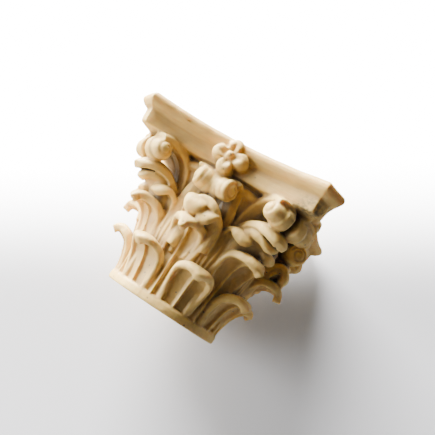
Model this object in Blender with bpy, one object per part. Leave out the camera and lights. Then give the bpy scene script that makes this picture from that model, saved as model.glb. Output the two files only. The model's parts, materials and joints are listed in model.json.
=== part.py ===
"""A small corinthian capital, cast in one piece, standing on its foot ring.

Metres, +Z up. The middle of the underside is the origin and the front side faces -Y.
The capital has four equal sides, and each side has two mirrored halves. A carved form is
shaped once on its own bearing and then repeated around the bell. All the forms are laid
together and remeshed into one closed skin, as clay is before it is cast.

A form's outline is given in a local frame, in millimetres: out from the capital's axis,
sideways, and up.
"""

import bpy
import bmesh
from math import cos, exp, floor, pi, radians, sin, sqrt
from mathutils import Matrix, Vector

MM = 0.001

# Overall sizes, in millimetres
HEIGHT = 30.0
LIP_HALF_WIDTH = 19.5
HORN_CUT = 16.3
SIDE_HOLLOW = 2.7
ABACUS_FOOT = 24.9
RING_RADIUS = 11.35
RING_HEIGHT = 1.7
BELL_RADIUS = 10.2
BELL_RIM_RADIUS = 14.4
BELL_TOP = 22.9

# Fineness of the skin, in millimetres and as a share of its faces kept
SKIN_VOXEL = 0.28
FACES_KEPT = 0.033
ROUND_STEPS = 72
SIDE_STEPS = 16
BLADE_STATIONS = 36
FACE_STEPS = 28
BACK_STEPS = 8
SCROLL_STEPS = 48
SCROLL_SECTIONS = 28

ARCH_POWER = 2.1
TONGUE_SHARE = 0.3

SIDES = 4
QUARTER = radians(90.0)
EIGHTH = radians(45.0)

RESIN_COLOUR = (0.72, 0.58, 0.40, 1.0)
RESIN_ROUGHNESS = 0.45

# Profile as (rise above the foot of the abacus, distance in from the lip)
ABACUS_PROFILE = ((0.0, 2.45), (0.2, 2.2), (1.3, 1.95), (2.2, 1.75), (2.6, 1.6), (2.8, 1.3), (3.05, 0.8),
                  (3.4, 0.35), (3.8, 0.08), (4.2, 0.0), (4.6, 0.12), (4.9, 0.4), (5.1, 0.8), (5.6, 1.6))

# Blades: points along the middle as (out, sideways, up) and half widths along them. A leaf ends in an
# arch, stated by where it starts and ends, with a narrow tongue beyond it. The cup is how far the
# edges come forward, the back is the thickness, and the root is how deep the foot sinks into the bell
LOWER_LEAF = {"path": ((10.7, 0.0, 1.0), (11.1, 0.0, 3.2), (11.6, 0.0, 5.2), (12.3, 0.0, 6.8),
                       (13.3, 0.0, 7.8), (14.4, 0.0, 8.1), (15.2, 0.0, 7.3)),
              "widths": (3.1, 3.4, 3.65, 3.8, 3.9, 3.9, 3.9), "arch": (0.48, 0.95), "cup": 0.4,
              "back": 1.1, "root": 1.4}
UPPER_LEAF = {"path": ((10.9, 0.0, 1.2), (11.2, 0.0, 4.6), (11.6, 0.0, 7.8), (12.0, 0.0, 10.6),
                       (12.8, 0.0, 12.8), (14.0, 0.0, 13.9), (15.4, 0.0, 14.1), (16.6, 0.0, 13.6),
                       (17.0, 0.0, 12.3)),
              "widths": (2.2, 2.4, 2.7, 3.0, 3.2, 3.3, 3.3, 3.3, 3.2), "arch": (0.5, 0.92), "cup": 0.4,
              "back": 1.1, "root": 1.6}
CORNER_LEAF = {"path": ((11.3, 0.0, 11.0), (12.2, 0.0, 14.8), (13.4, 0.0, 17.8), (15.0, 0.0, 19.5),
                        (16.8, 0.0, 19.8), (18.2, 0.0, 18.9), (18.3, 0.0, 17.2)),
               "widths": (4.2, 4.6, 4.9, 4.9, 4.6, 4.2, 3.8), "arch": (0.5, 0.97), "cup": 1.8,
               "back": 1.3, "root": 1.8}
LEAFLET = {"path": ((11.4, 0.0, 11.0), (12.6, 0.0, 14.5), (13.6, 0.0, 16.8), (14.6, 0.0, 17.5),
                    (15.4, 0.0, 17.0), (15.5, 0.0, 16.2)),
           "widths": (1.3, 1.5, 1.7, 1.6, 1.2, 0.8), "arch": (1.0, 2.0), "cup": 0.3, "back": 0.9, "root": 1.4}
LEAFLET_BEARING = radians(34.0)
INNER_LEAF = {"path": ((11.4, 4.0, 10.0), (12.4, 3.7, 14.4), (13.5, 3.1, 17.6), (14.5, 2.5, 19.0),
                       (15.4, 2.0, 18.4), (15.7, 1.7, 16.7), (15.3, 1.5, 15.0)),
              "widths": (1.2, 1.5, 1.9, 2.4, 2.5, 2.4, 2.2), "arch": (0.72, 1.0), "cup": 0.8,
              "back": 1.0, "root": 1.5}
MIDDLE_LEAF = {"path": ((11.6, 0.0, 12.6), (12.7, 0.0, 14.4), (13.5, 0.0, 16.4), (14.2, 0.0, 18.0),
                        (14.9, 0.0, 18.8), (15.4, 0.0, 18.4)),
               "widths": (2.6, 3.0, 3.3, 3.2, 2.8, 2.4), "arch": (0.8, 1.0), "cup": 0.2,
               "back": 1.2, "root": 2.5}
RIBBON = {"path": ((10.6, 2.1, 10.0), (11.5, 2.1, 14.5), (12.1, 2.1, 18.5), (13.3, 2.1, 21.8),
                   (15.4, 2.2, 23.4), (17.9, 2.5, 23.7), (20.0, 2.8, 23.0)),
          "widths": (1.9, 2.1, 2.2, 2.2, 2.15, 2.1, 1.9),
          "arch": (1.0, 2.0), "cup": 0.0, "back": 0.9, "root": 1.5}
STALK = {"path": ((10.8, 4.4, 10.0), (11.8, 4.1, 14.5), (12.3, 3.7, 18.5), (12.8, 3.1, 21.4),
                  (13.8, 2.6, 23.0), (15.3, 2.2, 23.3)),
         "widths": (1.3, 1.4, 1.5, 1.6, 1.9, 2.0), "arch": (1.0, 2.0), "cup": 0.0, "back": 0.9, "root": 1.5}
CAULICOLE = {"path": ((10.6, 0.0, 3.0), (11.3, 0.0, 6.5), (12.2, 0.0, 10.0), (12.7, 0.0, 13.5),
                      (12.6, 0.0, 17.5)),
             "widths": (1.7, 2.0, 2.5, 3.2, 4.2), "arch": (1.0, 2.0), "cup": 0.0, "back": 1.2, "root": 1.2}
FLUTES = 6

# Scrolls: centre as (out, sideways, up), radius, half length, and where along it the coils start
CORNER_SCROLL = {"centre": (19.0, 3.0, 22.5), "radius": 2.3, "half_length": 2.5, "coils_from": 0.1}
HELIX = {"centre": (14.9, 2.15, 22.1), "radius": 2.15, "half_length": 2.25, "coils_from": -0.05}
COIL_PITCH = 0.36
COIL_DROPS = (0.1, 0.045)

# Flower: middle of its face as (out, up), petal radius, and their distance from the middle
FLOWER_CENTRE = (17.0, 27.4)
FLOWER_BACK = 2.6
PETAL_RADIUS = 1.3
PETAL_REACH = 1.62
PETALS = 4


def along(values, place):
    """A smooth curve through evenly spaced points, read at a place from 0 to 1."""
    last = len(values) - 1
    index = min(int(place * last), last - 1)
    step = place * last - index
    before, start, end, after = (Vector(values[max(0, min(last, index + offset))])
                                 for offset in (-1, 0, 1, 2))
    leave = (end - before) / 2
    arrive = (after - start) / 2
    return (start * (2 * step ** 3 - 3 * step ** 2 + 1) + leave * (step ** 3 - 2 * step ** 2 + step)
            + end * (3 * step ** 2 - 2 * step ** 3) + arrive * (step ** 3 - step ** 2))


def width_along(widths, place):
    """A half width read at a place along a form."""
    return along([(width, 0.0) for width in widths], place).x


def heading_along(path, place):
    """The direction in which a spine or a path runs at a place."""
    ahead = along(path, min(1.0, place + 0.02))
    return (ahead - along(path, max(0.0, place - 0.02))).normalized()


def swell(distance, half_width):
    """A smooth bump, 1 in its middle and 0 a few half widths away."""
    return exp(-(distance / half_width) ** 2)


def local(out, side, up, bearing=0.0):
    """A point from its local frame on a bearing, counted from the front towards +X."""
    across = out * sin(bearing) + side * cos(bearing)
    back = side * sin(bearing) - out * cos(bearing)
    return MM * Vector((across, back, up))


def wrapped(out, side, up, bearing=0.0):
    """A point whose sideways distance is measured around the bell."""
    turn = side / out
    return local(out * cos(turn), out * sin(turn), up, bearing)


def swept_solid(sections):
    """A closed solid, made by extruding an outline through a row of sections."""
    mesh = bmesh.new()
    end = mesh.faces.new([mesh.verts.new(point) for point in sections[0]])
    for section in sections[1:]:
        end = bmesh.ops.extrude_discrete_faces(mesh, faces=[end])["faces"][0]
        for vert, point in zip(end.verts, section):
            vert.co = point
    bmesh.ops.holes_fill(mesh, edges=[edge for edge in mesh.edges if edge.is_boundary])
    bmesh.ops.recalc_face_normals(mesh, faces=mesh.faces)
    return mesh


def bell_and_ring():
    """The foot ring, the bell and its rim, turned in one profile."""
    profile = [(0.0, -0.6), (10.8, -0.6), (11.2, 0.0), (RING_RADIUS, 0.35), (RING_RADIUS, 1.3),
               (11.1, RING_HEIGHT), (BELL_RADIUS, RING_HEIGHT)]
    flare = BELL_RIM_RADIUS - 1.0 - BELL_RADIUS
    for step in range(1, 11):
        rise = step / 10
        profile.append((BELL_RADIUS + flare * rise ** 3, RING_HEIGHT + (BELL_TOP - RING_HEIGHT) * rise))
    for step in range(9):
        turn = pi * (step / 8 - 0.5)
        profile.append((BELL_RIM_RADIUS - 0.9 + 0.9 * cos(turn), BELL_TOP + 0.9 + 0.9 * sin(turn)))
    profile += [(13.0, 25.5), (0.0, 25.5)]
    mesh = bmesh.new()
    verts = [mesh.verts.new((radius * MM, 0.0, height * MM)) for radius, height in profile]
    edges = [mesh.edges.new(pair) for pair in zip(verts, verts[1:])]
    bmesh.ops.spin(mesh, geom=verts + edges, axis=(0.0, 0.0, 1.0), cent=(0.0, 0.0, 0.0),
                   angle=2 * pi, steps=ROUND_STEPS, use_merge=True)
    bmesh.ops.remove_doubles(mesh, verts=mesh.verts, dist=0.001 * MM)
    bmesh.ops.recalc_face_normals(mesh, faces=mesh.faces)
    return mesh


def abacus():
    """The four-horned slab with hollow sides, a sloping fascia and a rounded lip."""
    sections = []
    for rise, inset in ABACUS_PROFILE:
        half_width = LIP_HALF_WIDTH - inset
        cut = HORN_CUT - 0.15 * inset
        outline = []
        for side in range(SIDES):
            for step in range(SIDE_STEPS + 1):
                across = 2.0 * step / SIDE_STEPS - 1.0
                out = half_width - SIDE_HOLLOW * (1.0 - across ** 2)
                outline.append(local(out, across * cut, ABACUS_FOOT + rise, side * QUARTER))
        sections.append(outline)
    return swept_solid(sections)


def leaf_relief(aside, edge):
    """The height of a leaf's face: a rounded rim, a broad midrib and a fine rib in each hollow."""
    rim = 0.75 * sqrt(max(0.0, 1.0 - ((edge - 0.55) / 0.57) ** 2))
    inside = min(1.0, max(0.0, (edge - 0.6) / 0.9))
    rib = (0.7 * swell(aside, 0.75) + 0.15 * swell(abs(aside) - 1.6, 0.3)) * inside
    return max(rim, rib) - 0.35


def ribbon_relief(aside, edge):
    """The height of a ribbon's face: a raised edge on each side of a shallow channel."""
    return 0.5 * swell(edge - 0.35, 0.3) - 0.35 * swell(edge, 0.2) - 0.15


def fluted_relief(aside, edge):
    """The height of a caulicole's face: parallel flutes."""
    share = aside / (abs(aside) + max(0.001, edge))
    return 0.22 * cos(share * pi * FLUTES) - 0.4 * swell(edge, 0.3)


def outline_of(size, place):
    """A blade's full half width, how far into its arch a place is, and the share of the width there."""
    start, end = size["arch"]
    full = width_along(size["widths"], place)
    into_arch = min(1.0, max(0.0, place - start) / (end - start))
    arch_share = (1.0 - into_arch ** ARCH_POWER) ** (1.0 / ARCH_POWER)
    tongue_share = TONGUE_SHARE * sqrt(max(0.02, 1.0 - place ** 12))
    return full, into_arch, max(arch_share, tongue_share)


def edge_distance(full, into_arch, width_share, share):
    """How far a point of a blade lies from its outline, sideways or over the arch."""
    over_arch = (abs(share * width_share) ** ARCH_POWER + into_arch ** ARCH_POWER) ** (1.0 / ARCH_POWER)
    in_tongue = TONGUE_SHARE - abs(share * width_share) if into_arch > 0.0 else 0.0
    return full * max(1.0 - over_arch, in_tongue)


def blade(size, bearing, relief, wrap=True):
    """A leaf or strap along its path, its face turned away from the bell and its root sunk into it."""
    place_point = wrapped if wrap else local
    sections = []
    for station in range(BLADE_STATIONS):
        place = 1.0 - (1.0 - station / (BLADE_STATIONS - 1)) ** 1.4
        middle = along(size["path"], place)
        heading = heading_along(size["path"], place)
        sideways = Vector((0.0, 1.0, 0.0))
        sideways = (sideways - heading * heading.y).normalized()
        face = sideways.cross(heading)
        full, into_arch, width_share = outline_of(size, place)
        forward = size["cup"] * min(1.0, 2.0 * place)
        outline = []
        for step in range(FACE_STEPS + 1):
            share = 2.0 * step / FACE_STEPS - 1.0
            aside = share * width_share * full
            rise = relief(aside, edge_distance(full, into_arch, width_share, share))
            point = middle + sideways * aside + face * (rise + forward * (aside / full) ** 2)
            outline.append(place_point(point.x, point.y, point.z, bearing))
        depth = size["root"] * max(0.0, 1.0 - 2.0 * place) + size["back"] * (1.0 - 0.5 * into_arch ** 2)
        for step in range(BACK_STEPS + 1):
            share = 0.97 * (1.0 - 2.0 * step / BACK_STEPS)
            aside = share * width_share * full
            sink = depth * (1.0 - 0.6 * share ** 4) - forward * (aside / full) ** 2
            point = middle + sideways * aside - face * sink
            outline.append(place_point(point.x, point.y, point.z, bearing))
        sections.append(outline)
    return swept_solid(sections)


def coil_breadth(size, share, travelled):
    """The radius of a rolled scroll, as a share of its full radius, at a place along and around it."""
    steps = (share - size["coils_from"]) / COIL_PITCH - travelled
    passed = max(0.0, floor(steps) + 1.0)
    climb = min(1.0, (steps - floor(steps)) / 0.2) if passed > 0.0 else 1.0
    groove = 0.1 * swell(steps - floor(steps + 0.5), 0.12) if steps > -0.5 else 0.0
    coils = travelled + (passed - 1.0 + climb if passed > 0.0 else 0.0)
    return 1.0 - COIL_DROPS[0] * coils - COIL_DROPS[1] * coils ** 2 - groove


def scroll(size, bearing):
    """A rolled scroll: a barrel lying sideways that coils in towards its outer end like a snail shell."""
    out, side, up = size["centre"]
    sections = []
    for section in range(SCROLL_SECTIONS + 1):
        share = 2.0 * section / SCROLL_SECTIONS - 1.0
        offset = side + share * size["half_length"]
        rounding = sqrt(1.0 - max(0.0, (-0.7 - share) / 0.34) ** 2)
        rounding *= sqrt(1.0 - max(0.0, (share - 0.85) / 0.2) ** 2)
        outline = []
        for step in range(SCROLL_STEPS):
            turn = 2 * pi * step / SCROLL_STEPS
            travelled = ((pi - turn) / (2 * pi)) % 1.0
            reach = size["radius"] * rounding * max(0.22, coil_breadth(size, share, travelled))
            outline.append(local(out + reach * cos(turn), offset, up + reach * sin(turn), bearing))
        sections.append(outline)
    return swept_solid(sections)


def flower():
    """A raised flower with round petals and a bead in the middle, on the front side.

    Each ring of its outline is stated as (share of the petals' reach, height above its middle).
    """
    steps = 20 * PETALS
    middle_out, middle_up = FLOWER_CENTRE
    rings = ((0.06, 1.05), (0.12, 1.0), (0.17, 0.8), (0.21, 0.35), (0.29, 0.3), (0.4, 0.55), (0.55, 0.75),
             (0.7, 0.8), (0.84, 0.66), (0.94, 0.38), (1.0, -0.1), (0.97, -FLOWER_BACK))
    sections = []
    for share, height in rings:
        petal = min(1.0, max(0.0, (share - 0.25) / 0.15))
        outline = []
        for step in range(steps):
            turn = 2 * pi * step / steps
            across = ((turn * PETALS / (2 * pi) + 0.5) % 1.0 - 0.5) * 2 * pi / PETALS
            rim = PETAL_REACH * cos(across) + sqrt(PETAL_RADIUS ** 2 - (PETAL_REACH * sin(across)) ** 2)
            reach = share * (PETAL_REACH + PETAL_RADIUS + petal * (rim - PETAL_REACH - PETAL_RADIUS))
            gap = 0.55 * swell(abs(across) - pi / PETALS, 0.13)
            gap += 0.15 * swell(across, 0.12) * swell(share - 0.36, 0.1)
            sink = 0.0 if height < -0.5 else petal * gap
            point = (middle_out + height - sink, reach * sin(turn), middle_up + reach * cos(turn))
            outline.append(local(*point))
        sections.append(outline)
    return swept_solid(sections)


def carved_forms():
    """Every form of the casting, as (mesh, turn about the axis, mirrored or not)."""
    half_step = EIGHTH / 2
    every_eighth = (blade(LOWER_LEAF, half_step, leaf_relief), blade(UPPER_LEAF, 0.0, leaf_relief),
                    blade(CAULICOLE, half_step, fluted_relief))
    every_side = (blade(CORNER_LEAF, EIGHTH, leaf_relief), blade(MIDDLE_LEAF, 0.0, leaf_relief), flower())
    every_hand = (blade(LEAFLET, LEAFLET_BEARING, ribbon_relief),
                  blade(INNER_LEAF, 0.0, leaf_relief, wrap=False),
                  blade(RIBBON, -EIGHTH, ribbon_relief, wrap=False), scroll(CORNER_SCROLL, -EIGHTH),
                  blade(STALK, 0.0, ribbon_relief, wrap=False), scroll(HELIX, 0.0))
    forms = [(bell_and_ring(), 0.0, False), (abacus(), 0.0, False)]
    forms += [(form, step * EIGHTH, False) for form in every_eighth for step in range(2 * SIDES)]
    forms += [(form, side * QUARTER, False) for form in every_side for side in range(SIDES)]
    forms += [(form, side * QUARTER, mirror) for form in every_hand for side in range(SIDES)
              for mirror in (False, True)]
    return forms


def laid_together(forms):
    """One mesh of all the forms, each turned to its place and mirrored left to right if asked."""
    together = bmesh.new()
    for form, turn, mirror in forms:
        place = Matrix.Rotation(turn, 4, "Z")
        if mirror:
            place = place @ Matrix.Scale(-1.0, 4, (1.0, 0.0, 0.0))
        copy = form.copy()
        bmesh.ops.transform(copy, matrix=place, verts=copy.verts)
        bmesh.ops.recalc_face_normals(copy, faces=copy.faces)
        piece = bpy.data.meshes.new("form")
        copy.to_mesh(piece)
        together.from_mesh(piece)
        bpy.data.meshes.remove(piece)
        copy.free()
    return together


def linked_object(name, mesh):
    """An object in the scene that holds a mesh."""
    data = bpy.data.meshes.new(name)
    mesh.to_mesh(data)
    made = bpy.data.objects.new(name, data)
    bpy.context.scene.collection.objects.link(made)
    return made


def resin():
    """Ivory coloured casting resin."""
    material = bpy.data.materials.new("resin")
    material.use_nodes = True
    shader = material.node_tree.nodes["Principled BSDF"]
    shader.inputs["Base Color"].default_value = RESIN_COLOUR
    shader.inputs["Roughness"].default_value = RESIN_ROUGHNESS
    shader.inputs["Metallic"].default_value = 0.0
    return material


def trimming_block():
    """The block between the underside and the top, which keeps both ends flat."""
    mesh = bmesh.new()
    bmesh.ops.create_cube(mesh, size=1.0)
    width = 3.0 * LIP_HALF_WIDTH * MM
    for vert in mesh.verts:
        vert.co = Vector((vert.co.x * width, vert.co.y * width, (vert.co.z + 0.5) * HEIGHT * MM))
    block = linked_object("trimming_block", mesh)
    block.hide_render = True
    block.display_type = "WIRE"
    return block


def cast_capital():
    """The whole capital: its forms under one skin, thinned to few faces and trimmed flat."""
    casting = linked_object("capital", laid_together(carved_forms()))
    casting.data.materials.append(resin())
    skin = casting.modifiers.new("skin", "REMESH")
    skin.mode = "VOXEL"
    skin.voxel_size = SKIN_VOXEL * MM
    skin.use_smooth_shade = True
    thin = casting.modifiers.new("thin", "DECIMATE")
    thin.ratio = FACES_KEPT
    thin.use_collapse_triangulate = True
    trim = casting.modifiers.new("trim", "BOOLEAN")
    trim.operation = "INTERSECT"
    trim.object = trimming_block()
    trim.solver = "EXACT"
    return casting


def main():
    for old in list(bpy.data.objects):
        bpy.data.objects.remove(old)
    cast_capital()


main()
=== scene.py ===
"""A small corinthian capital cast in ivory resin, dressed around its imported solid.

Laid out as an add-on: the panel in the 3D view's sidebar lists one operator for each group of
carved forms, one that casts them as a single piece, and one for the stage. Each carved form
starts as a primitive, is shaped once, and is then copied around the bell.

A form is stated in a local frame, in millimetres: out from the capital's axis, sideways, and up.
"""

import json
from math import atan2, cos, exp, floor, pi, radians, sin, sqrt

import bmesh
import bpy
import numpy as np
from mathutils import Matrix, Vector, noise
from mathutils.bvhtree import BVHTree

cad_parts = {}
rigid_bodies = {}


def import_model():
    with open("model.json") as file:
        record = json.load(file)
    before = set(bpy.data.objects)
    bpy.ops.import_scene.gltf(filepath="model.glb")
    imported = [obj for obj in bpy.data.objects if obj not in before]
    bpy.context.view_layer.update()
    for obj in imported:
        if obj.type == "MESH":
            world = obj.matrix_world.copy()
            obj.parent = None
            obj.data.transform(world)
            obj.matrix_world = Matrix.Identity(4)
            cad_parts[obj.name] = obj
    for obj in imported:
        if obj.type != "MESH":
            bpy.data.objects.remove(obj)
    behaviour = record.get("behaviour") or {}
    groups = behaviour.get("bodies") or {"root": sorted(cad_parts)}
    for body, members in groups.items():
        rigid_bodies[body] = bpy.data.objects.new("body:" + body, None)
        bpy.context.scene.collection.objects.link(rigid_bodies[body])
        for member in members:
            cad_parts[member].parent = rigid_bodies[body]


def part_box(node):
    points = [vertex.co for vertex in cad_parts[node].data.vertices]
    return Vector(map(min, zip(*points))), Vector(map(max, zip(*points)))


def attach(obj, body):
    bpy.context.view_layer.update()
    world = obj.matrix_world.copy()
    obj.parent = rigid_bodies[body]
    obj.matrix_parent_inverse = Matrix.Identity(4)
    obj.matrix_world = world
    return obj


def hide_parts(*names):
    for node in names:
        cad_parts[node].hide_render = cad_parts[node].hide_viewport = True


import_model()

bl_info = {
    "name": "Corinthian capital",
    "version": (1, 0, 0),
    "blender": (4, 5, 0),
    "location": "3D View > Sidebar > Capital",
    "description": "A small cast capital with acanthus leaves, scrolls and flowers",
    "category": "Add Mesh",
}

CAD_NODE = "capital"
CAD_LOW, CAD_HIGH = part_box(CAD_NODE)
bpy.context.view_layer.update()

MM = 0.001
SIDES = 4
QUARTER = radians(90.0)
EIGHTH = radians(45.0)

# Fineness of the carving
BLADE_STATIONS = 64
FACE_STEPS = 56
BACK_STEPS = 14
SCROLL_STEPS = 96
SCROLL_SECTIONS = 44
SCROLL_CAP = 28
ROUND_STEPS = 144
SIDE_STEPS = 40
PETAL_STEPS = 32
SKIN_VOXEL = 0.17
FACES_KEPT = 195000
SMOOTHING = 0.5
SMOOTHING_ROUNDS = 2
CUT_TOLERANCE = 0.0001

# Wear of the mould in millimetres: how far apart its broad and its fine bumps lie and how high they are, and
# where the fine ones are read in the noise, so that the two don't follow each other
BROAD_WEAR = 2.2
BROAD_DEPTH = 0.09
FINE_WEAR = 0.8
FINE_DEPTH = 0.045
FINE_PLACE = (7.0, 3.0, 5.0)

# Outline of a blade: how square its arch is, and the half width, the least width and the end of its tongue
ARCH_POWER = 2.1
TONGUE_SHARE = 0.3
TONGUE_LEAST = 0.02
TONGUE_POWER = 12

# Sections of a blade: how much closer together they lie towards its end, the step over which its heading is
# read, and how far its back reaches across, rounds off at the sides and thins over the arch
STATION_EASING = 1.4
HEADING_STEP = 0.02
BACK_REACH = 0.97
BACK_ROUNDING = 0.35
BACK_THINNING = 0.25

# Relief in millimetres. A ridge is (distance to its middle, half width, height), counted in from the
# outline or, for a midrib, sideways from the middle, and a sink is how far the whole face goes back
RIM_HALF_WIDTH = 0.48
RIM_BROADENING = 0.4
RIM_HEIGHT = 0.5
RIM_RISING = 0.1
RIM_MARGIN = 0.03
SCOOP_DEPTH = 0.5
LEAF_RIDGE = (1.6, 0.26, 0.34)
LEAF_MIDRIB = (0.0, 0.38, 0.65)
MIDRIB_FADE = 0.9
LEAF_SINK = 0.25
CORNER_RIDGES = ((0.4, 0.42, 0.5), (1.5, 0.38, 0.32), (2.5, 0.38, 0.26))
CORNER_MIDRIB = (0.0, 0.5, 0.3)
CORNER_SINK = 0.3
RIBBON_RIDGE = (0.3, 0.6, 0.25)
RIBBON_WORN_EDGE = (0.0, 0.25, -0.3)
HOOD_RIDGES = ((0.5, 0.5, 0.4), (1.7, 0.4, 0.3))
HOOD_SINK = 0.2
TONGUE_HEIGHT = 0.9
TONGUE_ROUNDING = 1.3
TONGUE_SINK = 0.3
FLUTE_HEIGHT = 0.13
FLUTED_WORN_EDGE = (0.0, 0.3, -0.4)
LEAST_WIDTH = 0.001

# Scrolls: how far apart the coils lie and how each steps down to the next, as shares of the half length,
# and the rounded foot of the roll
COIL_PITCH = 0.8
COIL_STEP = 0.12
COIL_GROOVE = (0.0, 0.09, 0.08)
FOOT_START = -0.7
FOOT_LENGTH = 0.34
# The spiral slot in a scroll's end: where it starts as a share of the radius, how far it moves in on each
# lap, and its depth in millimetres with the deeper mouth and eye as (lap, half width, depth)
CURL_LAPS = 1.25
CURL_START = 0.8
CURL_INWARDS = 0.36
CURL_HALF_WIDTH = 0.1
CURL_FADE = 0.06
CURL_DEPTH = 0.22
CURL_MOUTH = (0.15, 0.2, 0.45)
CURL_EYE = (CURL_LAPS, 0.3, 0.4)
# Each kind of scroll: where its coils start, how far each coil drops, its dome and how far it is turned
CORNER_SCROLL = {"coils_from": -0.05, "drop": 0.13, "dome": 1.9, "splay": 0.0, "bearing": -EIGHTH}
HELIX = {"coils_from": -0.5, "drop": 0.05, "dome": 0.8, "splay": radians(26.0), "bearing": 0.0}

# Flower: its rings as (share of the petals' reach, height above its middle), the height below which they
# stay plain, where its petals part, the gap between two of them, and the crease along each, which is deeper
# on the top petal
PETALS = 4
FLOWER_BACK = 2.6
FLOWER_RINGS = ((0.05, 1.0), (0.1, 0.97), (0.15, 0.85), (0.19, 0.65), (0.215, 0.3), (0.25, -0.05),
                (0.31, 0.05), (0.4, 0.3), (0.52, 0.52), (0.66, 0.6), (0.8, 0.5), (0.9, 0.28), (0.97, -0.1),
                (1.0, -0.6), (0.99, -FLOWER_BACK))
PETAL_EDGE = -0.5
PETALS_FROM = 0.25
PETALS_BLEND = 0.15
PETAL_GAP = (pi / PETALS, 0.13, 0.55)
CREASE_HALF_WIDTH = 0.13
CREASE_REACH = 0.42
CREASE_HALF_LENGTH = 0.16
CREASE_DEPTH = 0.22
TOP_CREASE_DEPTH = 0.55
TOP_PETAL_TURN = 0.6

# Foot ring and bell: points as (distance out from the ring's edge, height), the bell's flare and how far it
# stops short of the rim, the rim's bead, and how far the last point lies in from the rim and above its foot
RING_FOOT = ((-0.55, -0.6), (-0.15, 0.0), (0.0, 0.35))
RING_TOP = ((0.0, -0.4), (-0.25, 0.0))
FLARE_STEPS = 20
FLARE_POWER = 3
FLARE_INSET = 1.0
BEAD_STEPS = 16
BEAD_RADIUS = 0.9
LAST_INSET = 1.4
LAST_RISE = 2.6

# Abacus: how much its cut horns narrow with its profile, which is given as (rise above its foot, distance
# in from the lip)
HORN_TAPER = 0.15
ABACUS_PROFILE = ((0.0, 2.45), (0.2, 2.2), (1.3, 1.95), (2.3, 1.8), (2.6, 1.75), (2.72, 1.35), (3.0, 0.85),
                  (3.4, 0.35), (3.8, 0.08), (4.2, 0.0), (4.6, 0.12), (4.9, 0.4), (5.1, 0.8), (5.6, 1.6))

# Blades: points along the middle as (out, sideways, up) and half widths along them. A leaf ends in an arch,
# stated by where it starts and ends, with a narrow tongue beyond it; an arch that starts at 1.0 is none. The
# cup is how far the edges come forward, the back is the thickness, and the root is how deep the foot sinks
# into the bell
LOWER_LEAF = {
    "path": ((10.7, 0.0, 1.0), (11.1, 0.0, 3.2), (11.6, 0.0, 5.2), (12.3, 0.0, 6.8), (13.3, 0.0, 7.8),
             (14.4, 0.0, 8.1), (15.2, 0.0, 7.3)),
    "widths": (3.1, 3.4, 3.65, 3.8, 3.9, 3.9, 3.9),
    "arch": (0.48, 0.95), "cup": 0.4, "back": 1.5, "root": 1.4,
}
UPPER_LEAF = {
    "path": ((10.9, 0.0, 1.2), (11.2, 0.0, 4.6), (11.6, 0.0, 7.8), (12.0, 0.0, 10.6), (12.8, 0.0, 12.8),
             (14.0, 0.0, 13.9), (15.4, 0.0, 14.1), (16.6, 0.0, 13.6), (17.0, 0.0, 12.3)),
    "widths": (2.2, 2.4, 2.7, 3.0, 3.2, 3.3, 3.3, 3.3, 3.2),
    "arch": (0.5, 0.92), "cup": 0.5, "back": 1.5, "root": 1.6,
}
CORNER_UPPER_LEAF = {
    "path": ((10.9, 0.0, 1.2), (11.2, 0.1, 4.6), (11.6, 0.2, 7.8), (12.0, 0.35, 10.6),
             (12.8, 0.5, 12.8), (14.0, 0.65, 13.9), (15.4, 0.9, 14.2), (16.6, 1.3, 13.9),
             (17.3, 1.9, 12.9)),
    "widths": (2.3, 2.6, 3.0, 3.5, 3.8, 3.9, 3.9, 3.6, 3.0),
    "arch": (0.5, 0.94), "cup": 0.5, "back": 1.5, "root": 1.6,
}
CORNER_LEAF = {
    "path": ((10.6, 0.0, 7.5), (11.3, 0.0, 11.5), (12.0, 0.0, 15.2), (13.1, 0.0, 17.9),
             (15.0, 0.0, 19.6), (17.0, 0.0, 19.9), (18.6, 0.0, 19.2), (19.6, 0.0, 18.1)),
    "widths": (3.0, 3.6, 4.1, 4.2, 4.0, 3.8, 3.6, 3.2),
    "arch": (0.55, 1.03), "cup": 0.9, "back": 1.5, "root": 1.8,
}
HEART = {
    "path": ((11.0, 0.9, 11.5), (12.2, 0.9, 13.7), (13.5, 0.9, 15.4), (14.8, 0.8, 16.4),
             (15.7, 0.7, 16.6)),
    "widths": (2.0, 2.7, 3.1, 3.1, 2.7),
    "arch": (0.8, 1.02), "cup": 0.0, "back": 2.0, "root": 1.6,
}
CORNER_KNOB = {
    "path": ((11.2, -0.2, 10.5), (12.6, -0.2, 14.0), (14.4, -0.2, 16.9), (16.0, -0.1, 18.2),
             (17.3, 0.0, 17.9), (17.6, 0.0, 16.9)),
    "widths": (2.0, 3.2, 3.6, 3.4, 2.6, 1.5),
    "arch": (0.7, 1.02), "cup": 0.0, "back": 1.2, "root": 1.4,
}
LEAFLET = {
    "path": ((11.4, -0.4, 10.0), (12.4, -0.4, 13.8), (13.3, -0.3, 16.0), (14.3, -0.1, 16.9),
             (15.2, 0.2, 16.7), (15.6, 0.4, 15.8)),
    "widths": (1.6, 2.1, 2.5, 2.5, 2.2, 1.6),
    "arch": (0.7, 1.04), "cup": 0.3, "back": 1.2, "root": 1.4,
}
LEAFLET_BEARING = radians(33.0)
HOOD = {
    "path": ((11.8, 0.9, 9.0), (12.3, 0.9, 13.0), (12.9, 0.85, 15.8), (14.3, 0.8, 17.7),
             (16.6, 0.8, 17.9)),
    "widths": (2.2, 3.0, 3.4, 3.5, 3.3),
    "arch": (0.7, 1.02), "cup": 1.6, "back": 1.7, "root": 1.6,
}
LEFT_TONGUE = {
    "path": ((12.2, -1.4, 10.0), (12.8, -1.2, 13.5), (13.9, -0.9, 16.4), (15.1, -0.7, 17.6),
             (16.1, -0.5, 16.9), (15.9, -0.5, 15.4)),
    "widths": (1.0, 1.6, 2.0, 2.1, 1.9, 1.3),
    "arch": (0.8, 1.02), "cup": 0.0, "back": 1.3, "root": 1.5,
}
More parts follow.
